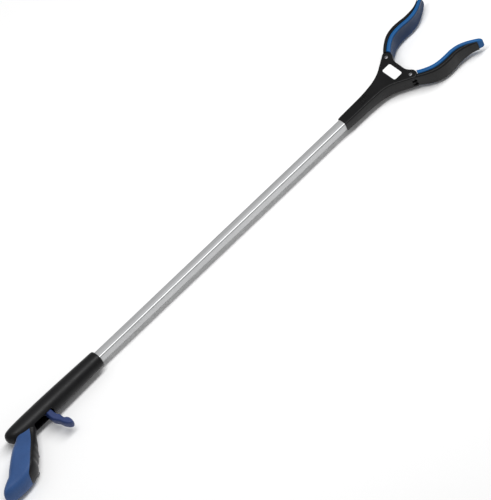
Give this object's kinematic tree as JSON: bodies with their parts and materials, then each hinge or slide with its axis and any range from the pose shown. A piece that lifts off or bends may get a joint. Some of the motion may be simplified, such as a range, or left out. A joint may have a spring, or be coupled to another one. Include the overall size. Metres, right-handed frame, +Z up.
{
  "type": "reacher grabber",
  "caption": "Pick-up reaching tool: pistol grip with trigger, square tube with an inner pull rod, and a head with rubber-lined gripping jaws.",
  "frame": {"origin": "centre of the base of the bounding box, on the surface that the tool lies on", "axes": "+X from the handle to the jaws along the tube, +Y away from the trigger, +Z up out of the side the tool lies on"},
  "size_m": [0.874, 0.128, 0.031],
  "materials": {
    "black_plastic": "fine moulded grain, satin",
    "blue_rubber": "matt soft-touch overmould",
    "jaw_rubber": "smooth satin rubber",
    "blue_plastic": "satin moulded",
    "aluminium": "satin drawn and anodised",
    "steel": "plated",
    "spring_steel": "drawn wire",
    "nylon": "natural nylon",
    "white_label": "blank printed foil"
  },
  "bodies": {
    "handle": {"housing_left": "black_plastic", "housing_right": "black_plastic", "grip_overmould": "blue_rubber", "housing_screw_tail": "steel", "housing_screw_middle": "steel", "housing_screw_grip": "steel", "housing_screw_butt": "steel", "tube_set_screw": "steel", "main_tube": "aluminium", "rod_guide_rear": "nylon", "rod_guide_front": "nylon", "trigger_pivot_pin": "steel", "head_shell_top": "black_plastic", "head_shell_bottom": "black_plastic", "head_screw_a": "steel", "head_screw_b": "steel", "label_plate": "white_label", "jaw_pivot_pin_upper": "steel", "jaw_pivot_pin_lower": "steel", "return_spring": "spring_steel"},
    "latch": {"latch_button": "black_plastic"},
    "trigger_lever": {"trigger": "blue_plastic", "trigger_drive_pin": "steel"},
    "rod": {"rod_clevis": "steel", "pull_rod": "steel", "rod_lock_nut": "steel", "crosshead": "nylon"},
    "jaw_upper": {"jaw_arm_upper": "black_plastic", "jaw_lining_upper": "jaw_rubber", "jaw_drive_pin_upper": "steel"},
    "jaw_lower": {"jaw_arm_lower": "black_plastic", "jaw_lining_lower": "jaw_rubber", "jaw_drive_pin_lower": "steel"}
  },
  "joints": [
    {"name": "trigger_squeeze", "type": "hinge", "parent": "handle", "child": "trigger_lever", "pos_m": [-0.31207, 0.01284, 0.0155], "axis": [0, 0, -1], "range_deg": [0, 32], "stiffness_Nm_per_rad": 0.35, "springref_deg": -8.59},
    {"name": "rod_pull", "type": "slide", "parent": "handle", "child": "rod", "axis": [-1, 0, 0], "range_m": [0, 0.0046], "deforming": ["return_spring"]},
    {"name": "jaw_close_upper", "type": "hinge", "parent": "handle", "child": "jaw_upper", "pos_m": [0.33993, 0.02744, 0.0155], "axis": [0, 0, -1], "range_deg": [0, 30.6]},
    {"name": "jaw_close_lower", "type": "hinge", "parent": "handle", "child": "jaw_lower", "pos_m": [0.33993, -0.01816, 0.0155], "axis": [0, 0, 1], "range_deg": [0, 30.6]},
    {"name": "latch_press", "type": "slide", "parent": "handle", "child": "latch", "axis": [0, 0, -1], "range_m": [0, 0.0012], "stiffness_N_per_m": 900, "springref_m": -0.0006}
  ],
  "couplings": [
    {"joint": "rod_pull", "follows": "trigger_squeeze", "m_per_rad": 0.0082},
    {"joint": "jaw_close_upper", "follows": "trigger_squeeze", "ratio": 0.95312},
    {"joint": "jaw_close_lower", "follows": "trigger_squeeze", "ratio": 0.95312}
  ]
}
